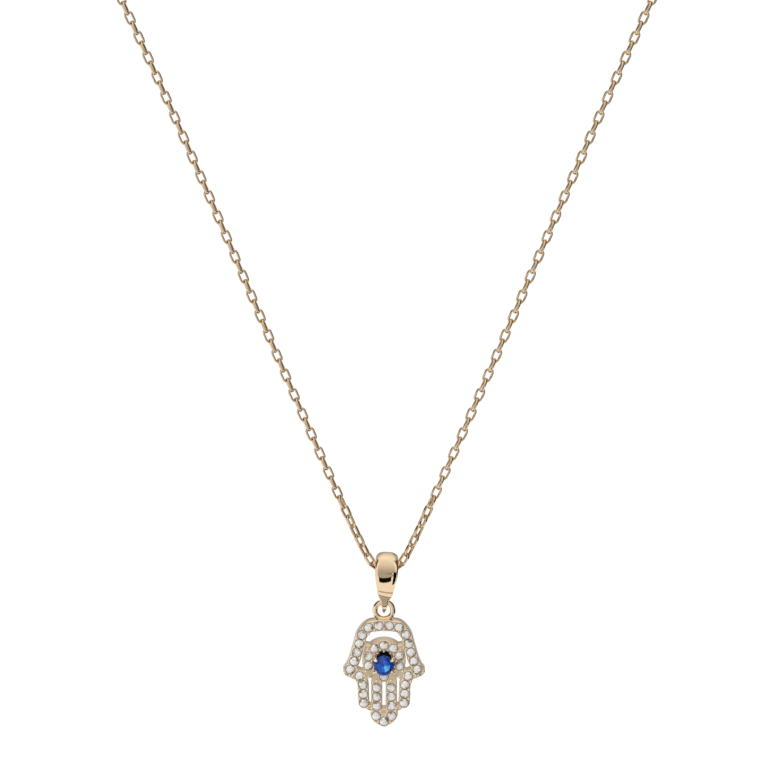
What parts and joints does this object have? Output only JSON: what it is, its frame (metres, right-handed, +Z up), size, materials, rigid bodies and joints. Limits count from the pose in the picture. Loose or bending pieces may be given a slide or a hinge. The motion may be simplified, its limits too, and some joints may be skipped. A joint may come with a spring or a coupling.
{
  "type": "hamsa pendant on a chain necklace",
  "caption": "Open hand pendant set with small white stones and a blue stone in its eye, on a ring and tapered bail, with its fine cable chain and clasp.",
  "frame": {"origin": "at the nape, under the middle of the clasp, where the necklace hangs on a neck or a hook", "axes": "+Z up; the hand faces -Y; +X to the right as seen from the front"},
  "size_m": [0.1024, 0.087, 0.1706],
  "materials": {
    "gold": "polished pale yellow gold",
    "white_stone": "faceted and polished, colourless",
    "blue_stone": "faceted and polished, deep blue"
  },
  "bodies": {
    "chain": {"chain_front": "gold", "chain_back": "gold", "clasp": "gold"},
    "bail": {"bail": "gold"},
    "hamsa": {"hamsa_frame": "gold", "blue_stone": "blue_stone", "white_stone_01": "white_stone", "white_stone_02": "white_stone", "white_stone_03": "white_stone", "white_stone_04": "white_stone", "white_stone_05": "white_stone", "white_stone_06": "white_stone", "white_stone_07": "white_stone", "white_stone_08": "white_stone", "white_stone_09": "white_stone", "white_stone_10": "white_stone", "white_stone_11": "white_stone", "white_stone_12": "white_stone", "white_stone_13": "white_stone", "white_stone_14": "white_stone", "white_stone_15": "white_stone", "white_stone_16": "white_stone", "white_stone_17": "white_stone", "white_stone_18": "white_stone", "white_stone_19": "white_stone", "white_stone_20": "white_stone", "white_stone_21": "white_stone", "white_stone_22": "white_stone", "white_stone_23": "white_stone", "white_stone_24": "white_stone", "white_stone_25": "white_stone", "white_stone_26": "white_stone", "white_stone_27": "white_stone", "white_stone_28": "white_stone", "white_stone_29": "white_stone", "white_stone_30": "white_stone", "white_stone_31": "white_stone", "white_stone_32": "white_stone", "white_stone_33": "white_stone", "white_stone_34": "white_stone", "white_stone_35": "white_stone", "white_stone_36": "white_stone", "white_stone_37": "white_stone", "white_stone_38": "white_stone", "white_stone_39": "white_stone"}
  },
  "joints": [
    {"name": "bail_swing", "type": "hinge", "parent": "chain", "child": "bail", "pos_m": [0, -0.084, -0.15], "axis": [1, 0, 0], "range_deg": [-90, 90]},
    {"name": "hamsa_swing", "type": "hinge", "parent": "bail", "child": "hamsa", "pos_m": [-0.00031, -0.084, -0.15499], "axis": [0, 1, 0], "range_deg": [-60, 60]}
  ]
}
